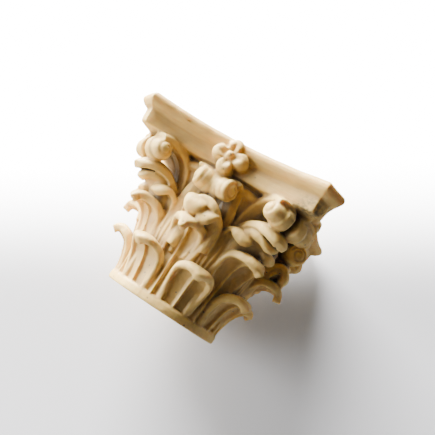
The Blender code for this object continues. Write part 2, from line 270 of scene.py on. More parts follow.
RIGHT_TONGUE = {
    "path": ((12.2, 3.6, 11.5), (12.8, 3.5, 14.0), (13.9, 3.1, 15.9), (15.0, 2.5, 16.5),
             (15.7, 1.9, 15.9), (15.6, 1.5, 14.8)),
    "widths": (1.0, 1.4, 1.6, 1.6, 1.4, 0.9),
    "arch": (0.8, 1.02), "cup": 0.0, "back": 1.2, "root": 1.5,
}
RIBBON = {
    "path": ((10.6, 2.1, 10.0), (11.5, 2.1, 14.5), (12.1, 2.1, 18.5), (13.3, 2.1, 21.8),
             (15.4, 2.2, 23.4), (17.9, 2.5, 23.7), (20.0, 2.8, 23.0)),
    "widths": (1.9, 2.1, 2.2, 2.2, 2.15, 2.1, 1.9),
    "arch": (1.0, 2.0), "cup": 0.0, "back": 1.8, "root": 1.5,
}
STALK = {
    "path": ((10.8, 4.4, 10.0), (11.8, 4.1, 14.5), (12.3, 3.7, 18.5), (12.8, 3.1, 21.4),
             (13.8, 2.6, 23.0), (15.3, 2.2, 23.3)),
    "widths": (1.3, 1.4, 1.5, 1.6, 1.9, 2.0),
    "arch": (1.0, 2.0), "cup": 0.0, "back": 0.9, "root": 1.5,
}
CAULICOLE = {
    "path": ((10.6, 0.0, 3.0), (11.3, 0.0, 6.5), (12.2, 0.0, 10.0), (12.7, 0.0, 13.5), (12.6, 0.0, 17.5)),
    "widths": (1.7, 2.0, 2.5, 3.2, 4.2),
    "arch": (1.0, 2.0), "cup": 0.0, "back": 1.2, "root": 1.2,
}

# Where the end of the front left inner scroll is broken off: a place in millimetres and a direction, with
# the height of the bumps on the broken face in millimetres, and how fast they follow each other per metre
BROKEN_END = ((-3.7, -15.5, 22.5), (-1.0, 0.2, 0.35))
BREAK_BUMPS = 0.12
BREAK_WAVES = (4100.0, 3700.0)

# How far the inner scroll of the right side that is nearer the front sags out of line
SAGGED_SCROLL = (0.9, 0.0, -0.5)

# Where the broken and the sagged inner scroll stand among the copies of the first, each of which is followed
# by its mirror image
BROKEN_COPY = 1
SAGGED_COPY = 3

# Patterns of the resin: the scale of each per millimetre, where it is cut off, and how it is scaled along X,
# Y and Z to draw it out into level or upright streaks
PATCHES = {"Scale": 0.22, "Low": 0.35, "High": 0.7}
SPECKS = {"Scale": 1.6, "Low": 0.4, "High": 0.75}
DRAG_MARKS = {"Scale": 1.0, "Low": 0.45, "High": 0.7}
VEINS = {"Scale": 1.0, "Low": 0.4, "High": 0.7}
MOTTLING_NOISE = {"Detail": 3.0, "Roughness": 0.6}
PITS = {"Scale": 0.6, "Size": 0.13, "Share": 0.34}
PIT_FLOOR = 0.4
GRAIN = {"Scale": 6.0, "Detail": 2.0}
LEVEL_STREAKS = (0.12, 0.12, 1.6)
UPRIGHT_STREAKS = (1.5, 1.5, 0.25)

# Colours of the resin: how much of one a pattern lays on. A range is (low, high) or (low, high, start, end):
# between the first two values it goes from start, or 0, to end, or 1. Heights and reaches are in millimetres
PATCH_CREAM = 0.35
CREST_CREAM = (0.0, 0.8)
# Painted shade: amber laid into the hollows, the more closed in a place is
HOLLOW_PAINTED_SHADE = (0.2, 0.85, 0.0, 0.9)
SPECK_AMBER = 0.08
PIT_AMBER = 0.6
SLAB_HEIGHTS = (24.6, 25.4)
DRAG_TAN = 0.3
# Painted warm rim light: tan along the lip of the top slab, between these heights and broken into patches
LIP_HEIGHTS = (27.3, 29.0)
LIP_GLOW_PATCHES = (0.25, 0.6, 0.25, 0.85)

# A painted shadow under the front right horn, where the ribbon's top lies in shade: its place in
# millimetres, where it ends and where it is full
SHADOW_PATCH_PLACE = (15.4, -17.0, 24.6)
SHADOW_PATCH_REACH = (3.6, 1.2)
SHADOW_PATCH_SPECKS = (0.3, 0.6, 0.25, 0.75)
SHADOW_PATCH_COLOUR = (0.075, 0.062, 0.05, 1.0)

# Gloss, relief and body of the resin
SPECK_ROUGHNESS = (0.3, 0.7, 0.38, 0.58)
PIT_DEPTH = 0.8
MARK_RELIEF = 0.75
GRAIN_RELIEF = 0.12
BUMP = {"Strength": 0.5, "Distance": 0.25 * MM}
RESIN_BODY = {
    "Subsurface_Weight": 0.25, "Subsurface_Radius": (1.0, 0.7, 0.4), "Subsurface_Scale": 1.2 * MM,
    "Specular_IOR_Level": 0.38,
}

# The Mix node's factor and two colours, and the colour that it gives. They are told apart by number, because
# the node's other kinds of value have the same names
MIX_INPUTS = (0, 6, 7)
MIX_RESULT = 2

# The camera: where it stands, and its right, up and back in the capital's frame
CAMERA_PLACE = (0.022058, -0.084234, 0.001892)
CAMERA_RIGHT = (0.8346, 0.10395, 0.54095)
CAMERA_UP = (-0.48898, -0.31236, 0.81445)
CAMERA_BACK = (0.25364, -0.94426, -0.20987)
CAMERA_LENS = 37.933
CAMERA_SENSOR = 36.0
CAMERA_NEAR = 5.0 * MM

# The stage: the floor touches the back of the lying capital. Its place and its fade are in millimetres, and
# its radius in metres. It glows brighter from its dim to its bright distance along the far direction, as
# painted light for the fall-off from the back light, and a least glow everywhere lifts its shadows
FLOOR_PLACE = (0.0, 19.5, 29.0)
FLOOR_NORMAL = (0.0, -0.9908, 0.1362)
FLOOR_RADIUS = 0.3
FLOOR_STEPS = 96
FLOOR_FADE = (120.0, 200.0)
CLOUDS = {"Scale": 0.05, "Low": 0.3, "High": 0.8}
CLOUD_SHARE = 0.08
CLOUD_COLOUR = (0.7, 0.7, 0.74, 1.0)
WHITE = (1.0, 1.0, 1.0, 1.0)
FLOOR_BODY = {"Roughness": 0.9, "Specular_IOR_Level": 0.1, "Emission_Color": WHITE}
FLOOR_FAR = (-0.539, 0.115, 0.835)
FLOOR_DIM = 0.0
FLOOR_BRIGHT = 60.0
FLOOR_LEAST_GLOW = 0.09
FLOOR_GLOW = 16.0
# Lights: where each stands as seen from the capital, how far off and how wide in metres, and its power, and
# how bright the surround is where the camera sees it
BACK_LIGHT = {"heading": (-0.726, -0.125, 0.676), "distance": 0.45, "size": 0.4, "power": 31.0}
FILL_LIGHT = {"heading": (-0.578, -0.796, -0.182), "distance": 0.45, "size": 0.4, "power": 0.5}
KEY_LIGHT = {"heading": (-0.878, -0.396, -0.268), "distance": 0.45, "size": 0.3}
SEEN_SKY = 12.0

# The last two are the least length that is divided by, and how upright a normal may be before the
# direction across it is found from X and not from Z
HOLLOW_RAYS = 24
HOLLOW_REACH = 7.0
RAY_START = 0.02
FAR_SHARE = 0.6
HOLLOW_ROUNDS = 4
CREST_SPREAD = 12
CREST_ROUNDS = 2
CREST_HEIGHT = 0.09
LEAST_LENGTH = 1e-9
NEARLY_UPRIGHT = 0.9


def user_length(name, description, default, least):
    """A length that a user would change."""
    return bpy.props.FloatProperty(name=name, description=description, default=default, min=least,
                                   subtype="DISTANCE", unit="LENGTH")


def user_place(name, description, default):
    """A place that a user would change."""
    return bpy.props.FloatVectorProperty(name=name, description=description, default=default,
                                         subtype="TRANSLATION", unit="LENGTH")


def user_colour(name, description, default):
    """A colour that a user would change."""
    return bpy.props.FloatVectorProperty(name=name, description=description, default=default,
                                         min=0.0, max=1.0, subtype="COLOR")


class CapitalSizes(bpy.types.PropertyGroup):
    """The main sizes of the casting."""

    height: user_length("Height", "From the underside to the flat top", CAD_HIGH.z - CAD_LOW.z, 0.005)
    lip_half_width: user_length(
        "Lip half width", "From the axis to the lip of the top slab at a horn", 0.0195, 0.003)
    horn_cut: user_length("Horn cut", "From the middle of a side to the cut end of a horn", 0.0163, 0.003)
    side_hollow: user_length("Side hollow", "How far the middle of a side curves in", 0.0027, 0.0)
    abacus_foot: user_length("Foot of the abacus", "Height at which the top slab starts", 0.0249, 0.001)
    ring_radius: user_length("Ring radius", "Radius of the ring that the capital stands on", 0.01135, 0.001)
    ring_height: user_length("Ring height", "Height of the ring that the capital stands on", 0.0017, 0.0002)
    bell_radius: user_length("Bell radius", "Radius of the bell just above the ring", 0.0102, 0.001)
    rim_radius: user_length("Bell rim radius", "Radius of the bell's rim under the top slab", 0.0144, 0.001)
    bell_top: user_length("Bell top", "Height at which the bell's rim starts", 0.0229, 0.001)
    flutes: bpy.props.IntProperty(
        name="Flutes", description="Number of flutes on each half of a stalk bundle",
        default=6, min=1, max=12)
    corner_scroll_place: user_place(
        "Corner scroll", "Middle of a corner scroll: out, sideways and up", (0.0190, 0.0030, 0.0225))
    corner_scroll_radius: user_length(
        "Corner scroll radius", "Radius of a corner scroll's roll", 0.0023, 0.0005)
    corner_scroll_half: user_length(
        "Corner scroll half length", "Half the length of a corner scroll's roll", 0.0025, 0.0005)
    helix_place: user_place(
        "Inner scroll", "Middle of an inner scroll: out, sideways and up", (0.0151, 0.00185, 0.0219))
    helix_radius: user_length("Inner scroll radius", "Radius of an inner scroll's roll", 0.00215, 0.0005)
    helix_half: user_length(
        "Inner scroll half length", "Half the length of an inner scroll's roll", 0.00200, 0.0005)
    flower_out: user_length("Flower's distance", "From the axis to the face of a flower", 0.0168, 0.001)
    flower_up: user_length("Flower's height", "Height of the middle of a flower", 0.0268, 0.001)
    petal_radius: user_length("Petal radius", "Radius of one round petal", 0.00145, 0.0002)
    petal_reach: user_length(
        "Petal reach", "From the middle of a flower to the middle of a petal", 0.00190, 0.0002)


class CapitalFinish(bpy.types.PropertyGroup):
    """The colours of the casting and of the stage."""

    ivory: user_colour("Ivory", "Colour of the resin on open faces", (0.67, 0.435, 0.14))
    # Cream is laid on convex crests and in random patches
    cream: user_colour("Cream", "Paler colour of rubbed crests", (0.86, 0.58, 0.175))
    # Amber is the colour of the painted shade in the hollows, and it is also laid into the pits
    amber: user_colour("Amber", "Warm colour down in the hollows", (0.20, 0.152, 0.10))
    # Tan is the warm colour of the painted rim light along the lip of the top slab, and it is also
    # multiplied into the drag marks
    tan: user_colour("Tan", "Stained colour along the lip of the top slab", (0.80, 0.50, 0.13))
    floor: user_colour("Floor", "Colour of the pale floor", (0.60, 0.595, 0.61))
    key_power: bpy.props.FloatProperty(
        name="Key light", description="Power of the large soft light", default=4.3, min=0.0, unit="POWER")
    sky_strength: bpy.props.FloatProperty(
        name="Surround", description="Strength of the soft fill light from all round",
        default=0.04, min=0.0)


def sizes():
    return bpy.context.scene.capital_sizes


def finish_colours():
    return bpy.context.scene.capital_finish


def along(values, place):
    """A smooth curve through evenly spaced points, read at a place from 0 to 1."""
    last = len(values) - 1
    index = min(int(place * last), last - 1)
    step = place * last - index
    before, start, end, after = (Vector(values[max(0, min(last, index + offset))])
                                 for offset in (-1, 0, 1, 2))
    leave = (end - before) / 2
    arrive = (after - start) / 2
    return (start * (2 * step ** 3 - 3 * step ** 2 + 1) + leave * (step ** 3 - 2 * step ** 2 + step)
            + end * (3 * step ** 2 - 2 * step ** 3) + arrive * (step ** 3 - step ** 2))


def width_along(widths, place):
    """A half width read at a place along a form."""
    return along([(width, 0.0) for width in widths], place).x


def heading_along(path, place):
    """The direction in which a path runs at a place."""
    ahead = along(path, min(1.0, place + HEADING_STEP))
    return (ahead - along(path, max(0.0, place - HEADING_STEP))).normalized()


def swell(distance, half_width):
    """A smooth bump, 1 in its middle and 0 a few half widths away."""
    return exp(-(distance / half_width) ** 2)


def ridge(distance, shape):
    """The height of a ridge, given as (distance to its middle, half width, height), at a distance."""
    middle, half_width, height = shape
    return height * swell(distance - middle, half_width)


def local(out, side, up, bearing=0.0):
    """A point from its local frame on a bearing, counted from the front towards +X."""
    across = out * sin(bearing) + side * cos(bearing)
    back = side * sin(bearing) - out * cos(bearing)
    return MM * Vector((across, back, up))


def wrapped(out, side, up, bearing=0.0):
    """A point whose sideways distance is measured around the bell."""
    turn = side / out
    return local(out * cos(turn), out * sin(turn), up, bearing)


def select_only(piece):
    """One object selected and active, and nothing else."""
    bpy.ops.object.select_all(action="DESELECT")
    piece.select_set(True)
    bpy.context.view_layer.objects.active = piece


def ringed_cylinder(name, around, rings):
    """A closed cylinder from 0 to 1 in height, cut into rings that can be laid on a form's sections."""
    bpy.ops.object.select_all(action="DESELECT")
    bpy.ops.mesh.primitive_cylinder_add(vertices=around, radius=1.0, depth=1.0, end_fill_type="NGON",
                                        location=(0.0, 0.0, 0.5))
    piece = bpy.context.active_object
    piece.name = name
    bpy.ops.object.transform_apply(location=True)
    bpy.ops.object.mode_set(mode="EDIT")
    bpy.ops.mesh.select_mode(type="EDGE")
    bpy.ops.mesh.select_all(action="DESELECT")
    mesh = bmesh.from_edit_mesh(piece.data)
    for edge in mesh.edges:
        low, high = edge.verts
        edge.select = abs(low.co.z - high.co.z) > 0.5
    bmesh.update_edit_mesh(piece.data)
    bpy.ops.mesh.subdivide(number_cuts=rings - 2)
    bpy.ops.object.mode_set(mode="OBJECT")
    return piece


def laid_on(piece, sections):
    """A ringed cylinder with each ring laid on its section, and its faces turned outwards."""
    around = len(sections[0])
    last = len(sections) - 1
    for vert in piece.data.vertices:
        ring = round(vert.co.z * last)
        step = round(atan2(vert.co.y, vert.co.x) / (2 * pi) * around) % around
        vert.co = sections[ring][step]
    select_only(piece)
    bpy.ops.object.mode_set(mode="EDIT")
    bpy.ops.mesh.select_all(action="SELECT")
    bpy.ops.mesh.normals_make_consistent(inside=False)
    bpy.ops.object.mode_set(mode="OBJECT")
    piece["carved_form"] = True
    return piece


def form_through(name, sections):
    """A closed form through a row of sections."""
    return laid_on(ringed_cylinder(name, len(sections[0]), len(sections)), sections)


def repeated(form, count, mirrored):
    """Copies of a form around the axis, each with its own mesh, and the same again left to right."""
    step = 2 * pi / count
    pieces = [form]
    for index in range(count):
        for flip in ((False, True) if mirrored else (False,)):
            if index == 0 and not flip:
                continue
            copy = form.copy()
            copy.data = form.data.copy()
            bpy.context.scene.collection.objects.link(copy)
            if flip:
                copy.data.transform(Matrix.Scale(-1.0, 4, (1.0, 0.0, 0.0)))
                copy.data.flip_normals()
            copy.data.transform(Matrix.Rotation(index * step, 4, "Z"))
            pieces.append(copy)
    return pieces


def broken_off(piece, plane):
    """A form whose end beyond a plane, given as (place, direction), is broken away to a rough flat face."""
    place, direction = (Vector(given) for given in plane)
    direction = direction.normalized()
    for vert in piece.data.vertices:
        beyond = (vert.co - place * MM).dot(direction)
        rough = BREAK_BUMPS * MM * sin(vert.co.z * BREAK_WAVES[0]) * cos(vert.co.y * BREAK_WAVES[1])
        if beyond > rough:
            vert.co -= direction * (beyond - rough)


def leaf_relief(aside, edge, curl):
    """The height of a leaf's face: a rim, broader over the curl, and two scoops beside a sharp midrib."""
    half = RIM_HALF_WIDTH + RIM_BROADENING * curl
    across = (edge - half) / (half + RIM_MARGIN)
    rim = (RIM_HEIGHT + RIM_RISING * curl) * sqrt(max(0.0, 1.0 - across ** 2))
    inwards = edge / max(LEAST_WIDTH, edge + abs(aside))
    scoop = -SCOOP_DEPTH * sin(pi * min(1.0, inwards)) + ridge(edge, LEAF_RIDGE)
    midrib = ridge(aside, LEAF_MIDRIB) * min(1.0, max(0.0, edge / MIDRIB_FADE))
    return max(rim, midrib + scoop) - LEAF_SINK


def corner_relief(aside, edge, curl):
    """The height of a corner leaf's face: ridges that run side by side along its outline."""
    return sum(ridge(edge, shape) for shape in CORNER_RIDGES) + ridge(aside, CORNER_MIDRIB) - CORNER_SINK


def ribbon_relief(aside, edge, curl):
    """The height of a ribbon's face: broad and smooth, with a soft ridge and worn edges."""
    return ridge(aside, RIBBON_RIDGE) + ridge(edge, RIBBON_WORN_EDGE)


def hood_relief(aside, edge, curl):
    """The height of a hood's face: a broad band along its edge and a second ridge inside it."""
    return sum(ridge(edge, shape) for shape in HOOD_RIDGES) - HOOD_SINK


def tongue_relief(aside, edge, curl):
    """The height of a tongue's face: full and round."""
    inwards = max(0.0, 1.0 - edge / TONGUE_ROUNDING)
    return TONGUE_HEIGHT * sqrt(max(0.0, 1.0 - inwards ** 2)) - TONGUE_SINK


def fluted_relief(aside, edge, curl):
    """The height of a caulicole's face: parallel flutes."""
    share = aside / (abs(aside) + max(LEAST_WIDTH, edge))
    return FLUTE_HEIGHT * cos(share * pi * sizes().flutes) + ridge(edge, FLUTED_WORN_EDGE)


def outline_of(size, place):
    """A blade's full half width, how far into its arch a place is, and the share of the width there."""
    start, end = size["arch"]
    full = width_along(size["widths"], place)
    into_arch = min(1.0, max(0.0, place - start) / (end - start))
    arch_share = (1.0 - into_arch ** ARCH_POWER) ** (1.0 / ARCH_POWER)
    tongue_share = TONGUE_SHARE * sqrt(max(TONGUE_LEAST, 1.0 - place ** TONGUE_POWER))
    return full, into_arch, max(arch_share, tongue_share)


def edge_distance(full, into_arch, width_share, share):
    """How far a point of a blade lies from its outline, sideways or over the arch."""
    over_arch = (abs(share * width_share) ** ARCH_POWER + into_arch ** ARCH_POWER) ** (1.0 / ARCH_POWER)
    in_tongue = TONGUE_SHARE - abs(share * width_share) if into_arch > 0.0 else 0.0
    return full * max(1.0 - over_arch, in_tongue)


def blade_sections(size, bearing, relief, wrap=True):
    """The sections of a leaf or strap along its path, its face turned away from the bell."""
    place_point = wrapped if wrap else local
    sections = []
    for station in range(BLADE_STATIONS):
        place = 1.0 - (1.0 - station / (BLADE_STATIONS - 1)) ** STATION_EASING
        middle = along(size["path"], place)
        heading = heading_along(size["path"], place)
        sideways = Vector((0.0, 1.0, 0.0))
        sideways = (sideways - heading * heading.y).normalized()
        face = sideways.cross(heading)
        full, into_arch, width_share = outline_of(size, place)
        forward = size["cup"] * min(1.0, 2.0 * place)
        outline = []
        for step in range(FACE_STEPS + 1):
            share = 2.0 * step / FACE_STEPS - 1.0
            aside = share * width_share * full
            rise = relief(aside, edge_distance(full, into_arch, width_share, share), into_arch)
            point = middle + sideways * aside + face * (rise + forward * (aside / full) ** 2)
            outline.append(place_point(point.x, point.y, point.z, bearing))
        thickness = size["back"] * (1.0 - BACK_THINNING * into_arch ** 2)
        depth = size["root"] * max(0.0, 1.0 - 2.0 * place) + thickness
        for step in range(BACK_STEPS + 1):
            share = BACK_REACH * (1.0 - 2.0 * step / BACK_STEPS)
            aside = share * width_share * full
            sink = depth * (1.0 - BACK_ROUNDING * share ** 4) - forward * (aside / full) ** 2
            point = middle + sideways * aside - face * sink
            outline.append(place_point(point.x, point.y, point.z, bearing))
        sections.append(outline)
    return sections


def coil_breadth(coils_from, drop, share, travelled):
    """The radius of a rolled scroll, as a share of its full radius, at a place along and around it."""
    steps = (share - coils_from) / COIL_PITCH - travelled
    passed = max(0.0, floor(steps) + 1.0)
    climb = min(1.0, (steps - floor(steps)) / COIL_STEP) if passed > 0.0 else 1.0
    groove = ridge(steps - floor(steps + 0.5), COIL_GROOVE) if steps > -0.5 else 0.0
    coils = travelled + (passed - 1.0 + climb if passed > 0.0 else 0.0)
    return 1.0 - drop * coils - groove


def curl_groove(reach, travelled):
    """The depth of the spiral slot in a scroll's end, deepest at its mouth and at its eye."""
    depth = 0.0
    for lap in (travelled, travelled + 1.0):
        fade = 1.0 if lap < CURL_LAPS else swell(lap - CURL_LAPS, CURL_FADE)
        deep = CURL_DEPTH + ridge(lap, CURL_MOUTH) + ridge(lap, CURL_EYE)
        depth = max(depth, deep * fade * swell(reach - CURL_START + CURL_INWARDS * lap, CURL_HALF_WIDTH))
    return depth


def scroll_sections(centre, radius, half_length, kind):
    """The sections of a strap rolled up sideways, with a domed end that shows its spiral."""
    out, side, up = (value / MM for value in centre)
    radius, half_length = radius / MM, half_length / MM
    dome, splay = kind["dome"], kind["splay"]
    sections = []
    for section in range(SCROLL_SECTIONS + SCROLL_CAP + 1):
        share = min(1.0, 2.0 * section / SCROLL_SECTIONS - 1.0)
        inwards = 1.0 - max(0, section - SCROLL_SECTIONS) / (SCROLL_CAP + 0.5)
        length = 2.0 * half_length - dome
        foot = sqrt(1.0 - max(0.0, (FOOT_START - share) / FOOT_LENGTH) ** 2)
        outline = []
        for step in range(SCROLL_STEPS):
            turn = 2 * pi * step / SCROLL_STEPS
            travelled = ((pi - turn) / (2 * pi)) % 1.0
            breadth = coil_breadth(kind["coils_from"], kind["drop"], share, travelled)
            reach = radius * foot * inwards * breadth
            offset = side - half_length + length * (share + 1.0) / 2.0 + dome * sqrt(1.0 - inwards ** 2)
            if inwards < 1.0:
                offset -= curl_groove(inwards, travelled)
            lengthways, across = offset - side, reach * cos(turn)
            outline.append(local(out + lengthways * sin(splay) + across * cos(splay),
                                 side + lengthways * cos(splay) - across * sin(splay),
                                 up + reach * sin(turn), kind["bearing"]))
        sections.append(outline)
    return sections


def flower_sections(middle_out, middle_up, petal_radius, petal_reach):
    """The sections of a raised flower with round petals and a bead in the middle, on the front side."""
    steps = PETAL_STEPS * PETALS
    sections = []
    for share, height in FLOWER_RINGS:
        petal = min(1.0, max(0.0, (share - PETALS_FROM) / PETALS_BLEND))
        outline = []
        for step in range(steps):
            turn = 2 * pi * step / steps
            across = ((turn * PETALS / (2 * pi) + 0.5) % 1.0 - 0.5) * 2 * pi / PETALS
            rim = petal_reach * cos(across) + sqrt(petal_radius ** 2 - (petal_reach * sin(across)) ** 2)
            reach = share * (petal_reach + petal_radius + petal * (rim - petal_reach - petal_radius))
            gap = ridge(abs(across), PETAL_GAP)
            on_top_petal = min(turn, 2 * pi - turn) < TOP_PETAL_TURN
            crease = TOP_CREASE_DEPTH if on_top_petal else CREASE_DEPTH
            creased = swell(across, CREASE_HALF_WIDTH) * crease
            gap += creased * swell(share - CREASE_REACH, CREASE_HALF_LENGTH)
            sink = 0.0 if height < PETAL_EDGE else petal * gap
            point = (middle_out + height - sink, reach * sin(turn), middle_up + reach * cos(turn))
            outline.append(local(*point))
        sections.append(outline)
    return sections


def abacus_sections(size):
    """The sections of the four-horned slab, from its foot to its top."""
    sections = []
    for rise, inset in ABACUS_PROFILE:
        half_width = size.lip_half_width / MM - inset
        cut = size.horn_cut / MM - HORN_TAPER * inset
        outline = []
        for side in range(SIDES):
            for step in range(SIDE_STEPS + 1):
                across = 2.0 * step / SIDE_STEPS - 1.0
                out = half_width - size.side_hollow / MM * (1.0 - across ** 2)
                outline.append(local(out, across * cut, size.abacus_foot / MM + rise, side * QUARTER))
        sections.append(outline)
    return sections


def bell_profile(size):
    """The profile of the foot ring, the bell and its rim, as (radius, height) in metres."""
    ring, rise, rim = size.ring_radius, size.ring_height, size.rim_radius
    profile = [(ring + out * MM, height * MM) for out, height in RING_FOOT]
    profile += [(ring + out * MM, rise + height * MM) for out, height in RING_TOP]
    profile.append((size.bell_radius, rise))
    flare = rim - FLARE_INSET * MM - size.bell_radius
    for step in range(1, FLARE_STEPS + 1):
        share = step / FLARE_STEPS
        height = rise + (size.bell_top - rise) * share
        profile.append((size.bell_radius + flare * share ** FLARE_POWER, height))
    bead = BEAD_RADIUS * MM
    for step in range(BEAD_STEPS + 1):
        turn = pi * (step / BEAD_STEPS - 0.5)
        profile.append((rim - bead + bead * cos(turn), size.bell_top + bead + bead * sin(turn)))
    profile.append((rim - LAST_INSET * MM, size.bell_top + LAST_RISE * MM))
    return profile


class CAPITAL_OT_bell(bpy.types.Operator):
    """Turn the foot ring, the bell and its rim in one profile"""

    bl_idname = "capital.bell"
    bl_label = "Bell and foot ring"

    def execute(self, context):
        profile = bell_profile(sizes())
        bpy.ops.object.select_all(action="DESELECT")
        bpy.ops.mesh.primitive_circle_add(vertices=ROUND_STEPS, radius=profile[0][0], fill_type="NGON",
                                          location=(0.0, 0.0, profile[0][1]))
        bell = context.active_object
        bell.name = "bell"
        bpy.ops.object.transform_apply(location=True)
        bpy.ops.object.mode_set(mode="EDIT")
        bpy.ops.mesh.select_mode(type="FACE")
        bpy.ops.mesh.select_all(action="SELECT")
        for (radius, height), (wider, higher) in zip(profile, profile[1:]):
            bpy.ops.mesh.extrude_region_move(TRANSFORM_OT_translate={"value": (0.0, 0.0, higher - height)})
            grow = wider / radius
            bpy.ops.transform.resize(value=(grow, grow, 1.0), center_override=(0.0, 0.0, higher))
        bpy.ops.mesh.select_all(action="SELECT")
        bpy.ops.mesh.normals_make_consistent(inside=False)
        bpy.ops.object.mode_set(mode="OBJECT")
        bell["carved_form"] = True
        return {"FINISHED"}


class CAPITAL_OT_abacus(bpy.types.Operator):
    """Shape the four-horned top slab with its hollow sides, sloping face and rounded lip"""

    bl_idname = "capital.abacus"
    bl_label = "Abacus"

    def execute(self, context):
        form_through("abacus", abacus_sections(sizes()))
        return {"FINISHED"}


# Blades bent around the bell, as (name, blade, bearing, how many, relief)
WRAPPED_BLADES = (
    ("lower_leaf", LOWER_LEAF, EIGHTH / 2, 2 * SIDES, leaf_relief),
    ("upper_leaf", UPPER_LEAF, 0.0, SIDES, leaf_relief),
    ("corner_upper_leaf", CORNER_UPPER_LEAF, EIGHTH, SIDES, leaf_relief),
    ("caulicole", CAULICOLE, EIGHTH / 2, 2 * SIDES, fluted_relief),
    ("corner_leaf", CORNER_LEAF, EIGHTH, SIDES, corner_relief),
    ("corner_knob", CORNER_KNOB, EIGHTH, SIDES, tongue_relief),
)
# Blades of the inner leaf, which stands straight out from the middle of each side
STRAIGHT_BLADES = (
    ("hood", HOOD, hood_relief),
    ("heart", HEART, tongue_relief),
    ("left_tongue", LEFT_TONGUE, tongue_relief),
    ("right_tongue", RIGHT_TONGUE, tongue_relief),
)


class CAPITAL_OT_leaves(bpy.types.Operator):
    """Carve one leaf of each kind and copy it around the bell"""

    bl_idname = "capital.leaves"
    bl_label = "Acanthus leaves"

    def execute(self, context):
        for name, blade, bearing, count, relief in WRAPPED_BLADES:
            repeated(form_through(name, blade_sections(blade, bearing, relief)), count, False)
        for name, blade, relief in STRAIGHT_BLADES:
            repeated(form_through(name, blade_sections(blade, 0.0, relief, wrap=False)), SIDES, False)
        leaflet = blade_sections(LEAFLET, LEAFLET_BEARING, corner_relief)
        repeated(form_through("leaflet", leaflet), SIDES, True)
        return {"FINISHED"}


class CAPITAL_OT_scrolls(bpy.types.Operator):
    """Roll the corner scrolls and the inner scrolls with the ribbons that carry them"""

    bl_idname = "capital.scrolls"
    bl_label = "Scrolls"

    def execute(self, context):
        size = sizes()
        corner = scroll_sections(size.corner_scroll_place, size.corner_scroll_radius,
                                 size.corner_scroll_half, CORNER_SCROLL)
        helix = scroll_sections(size.helix_place, size.helix_radius, size.helix_half, HELIX)
        ribbon = blade_sections(RIBBON, -EIGHTH, ribbon_relief, wrap=False)
        stalk = blade_sections(STALK, 0.0, ribbon_relief, wrap=False)
        repeated(form_through("corner_scroll", corner), SIDES, True)
        helices = repeated(form_through("helix", helix), SIDES, True)
        broken_off(helices[BROKEN_COPY], BROKEN_END)
        helices[SAGGED_COPY].data.transform(Matrix.Translation(Vector(SAGGED_SCROLL) * MM))
        repeated(form_through("ribbon", ribbon), SIDES, True)
        repeated(form_through("stalk", stalk), SIDES, True)
        return {"FINISHED"}


class CAPITAL_OT_flowers(bpy.types.Operator):
    """Raise the flower in the middle of each side of the abacus"""

    bl_idname = "capital.flowers"
    bl_label = "Flowers"

    def execute(self, context):
        size = sizes()
        sections = flower_sections(size.flower_out / MM, size.flower_up / MM,
                                   size.petal_radius / MM, size.petal_reach / MM)
        repeated(form_through("flower", sections), SIDES, False)
        return {"FINISHED"}


def applied(piece, kind, **settings):
    """A modifier put on a piece with its settings and applied."""
    select_only(piece)
    modifier = piece.modifiers.new(kind.lower(), kind)
    for name, value in settings.items():
        setattr(modifier, name, value)
    bpy.ops.object.modifier_apply(modifier=modifier.name)


def trimmed_flat(casting, height):
    """The casting cut level at its underside and at its top, and closed there."""
    select_only(casting)
    bpy.ops.object.mode_set(mode="EDIT")
    for level, upwards in ((0.0, False), (height, True)):
        bpy.ops.mesh.select_all(action="SELECT")
        bpy.ops.mesh.bisect(plane_co=(0.0, 0.0, level), plane_no=(0.0, 0.0, 1.0), use_fill=True,
                            threshold=CUT_TOLERANCE * MM, clear_outer=upwards, clear_inner=not upwards)
    bpy.ops.object.mode_set(mode="OBJECT")


def freed_of_scraps(casting):
    """The outer skin alone, without the closed scraps left inside it."""
    select_only(casting)
    outermost = max(casting.data.vertices, key=lambda vert: vert.co.length).index
    bpy.ops.object.mode_set(mode="EDIT")
    bpy.ops.mesh.select_mode(type="VERT")
    bpy.ops.mesh.select_all(action="DESELECT")
    bpy.ops.object.mode_set(mode="OBJECT")
    casting.data.vertices[outermost].select = True
    bpy.ops.object.mode_set(mode="EDIT")
    bpy.ops.mesh.select_linked()
    bpy.ops.mesh.select_all(action="INVERT")
    bpy.ops.mesh.delete(type="VERT")
    bpy.ops.object.mode_set(mode="OBJECT")


def roughened(casting):
    """The skin pushed in and out a little, as on a worn mould."""
    points = [vert.co.copy() for vert in casting.data.vertices]
    normals = [vert.normal.copy() for vert in casting.data.vertices]
    for vert, point, normal in zip(casting.data.vertices, points, normals):
        broad = noise.noise(point / (BROAD_WEAR * MM))
        fine = noise.noise(point / (FINE_WEAR * MM) + Vector(FINE_PLACE))
        vert.co = point + normal * MM * (BROAD_DEPTH * broad + FINE_DEPTH * fine)


def kept_in_box(casting):
    """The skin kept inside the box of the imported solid."""
    for vert in casting.data.vertices:
        vert.co = [min(max(value, low), high) for value, low, high in zip(vert.co, CAD_LOW, CAD_HIGH)]


